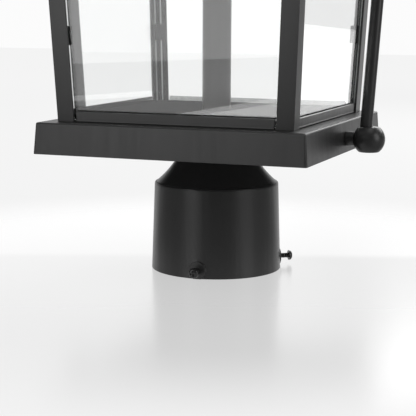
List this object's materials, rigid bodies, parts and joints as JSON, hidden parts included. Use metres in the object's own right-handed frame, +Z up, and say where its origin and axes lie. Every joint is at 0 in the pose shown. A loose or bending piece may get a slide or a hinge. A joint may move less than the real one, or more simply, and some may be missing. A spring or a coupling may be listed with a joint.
{
  "type": "post top lantern",
  "caption": "Square post top lantern with a round post fitter, drafted tray, leaning glazed cage, side rods between flatted balls, candle lampholder and lift-off pyramid roof.",
  "frame": {"origin": "centre of the post fitter's bottom rim, on the bore's axis", "axes": "+Z up along the post's axis, -Y towards the front glass, +X towards the right side rod"},
  "size_m": [0.2636, 0.2186, 0.4957],
  "materials": {
    "black_casting": "satin black powder coat on cast aluminium",
    "black_coat": "satin black powder coat",
    "black_sheet": "satin black enamel on sheet",
    "clear_glass": "clear, polished edges",
    "zinc_plate": "bright zinc plate",
    "black_oxide": "black oxide on steel",
    "green_zinc": "green passivated",
    "brass": "pressed brass",
    "moulded_black": "moulded phenolic",
    "gasket_rubber": "matt black sheet rubber"
  },
  "bodies": {
    "lantern": {"post_fitter": "black_casting", "neck_gasket": "gasket_rubber", "base_tray": "black_casting", "neck_screws": "zinc_plate", "cage_screws_lower": "zinc_plate", "ground_screw": "green_zinc", "floor_plate": "black_sheet", "lower_rail_front": "black_coat", "lower_rail_right": "black_coat", "lower_rail_back": "black_coat", "lower_rail_left": "black_coat", "corner_bar_front_right": "black_coat", "corner_bar_back_right": "black_coat", "corner_bar_back_left": "black_coat", "corner_bar_front_left": "black_coat", "pane_front": "clear_glass", "pane_right": "clear_glass", "pane_back": "clear_glass", "pane_left": "clear_glass", "pane_keepers": "black_sheet", "upper_rail_front": "black_coat", "upper_rail_right": "black_coat", "upper_rail_back": "black_coat", "upper_rail_left": "black_coat", "top_frame": "black_casting", "cage_screws_upper": "zinc_plate", "standoff_lower_right": "black_coat", "standoff_lower_left": "black_coat", "standoff_upper_right": "black_coat", "standoff_upper_left": "black_coat", "standoff_nuts": "zinc_plate", "ball_lower_right": "black_casting", "ball_lower_left": "black_casting", "ball_upper_right": "black_casting", "ball_upper_left": "black_casting", "rod_right": "black_coat", "rod_left": "black_coat", "nipple": "zinc_plate", "nipple_nuts": "zinc_plate", "candle_sleeve": "black_sheet", "socket_bracket": "zinc_plate", "lamp_socket": "moulded_black", "screw_shell": "brass", "centre_contact": "brass", "crossbar": "zinc_plate", "crossbar_screws": "zinc_plate", "roof_stud": "zinc_plate", "stud_nuts": "zinc_plate"},
    "set_screw_front": {"set_screw_front": "black_oxide"},
    "set_screw_right": {"set_screw_right": "black_oxide"},
    "set_screw_left": {"set_screw_left": "black_oxide"},
    "roof": {"roof_shell": "black_casting", "vent_collar": "black_casting", "vent_cap": "black_casting"},
    "finial": {"finial": "black_casting"}
  },
  "joints": [
    {"name": "set_screw_front_travel", "type": "slide", "parent": "lantern", "child": "set_screw_front", "axis": [-0.0785, 0.9969, 0], "range_m": [-0.003, 0.0064]},
    {"name": "set_screw_right_travel", "type": "slide", "parent": "lantern", "child": "set_screw_right", "axis": [-0.8241, -0.5664, 0], "range_m": [-0.003, 0.0064]},
    {"name": "set_screw_left_travel", "type": "slide", "parent": "lantern", "child": "set_screw_left", "axis": [0.9026, -0.4305, 0], "range_m": [-0.003, 0.0064]},
    {"name": "roof_lift", "type": "slide", "parent": "lantern", "child": "roof", "axis": [0, 0, 1], "range_m": [0, 0.13]},
    {"name": "finial_turn", "type": "hinge", "parent": "roof", "child": "finial", "pos_m": [0, 0, 0.457], "axis": [0, 0, 1], "continuous": true}
  ]
}
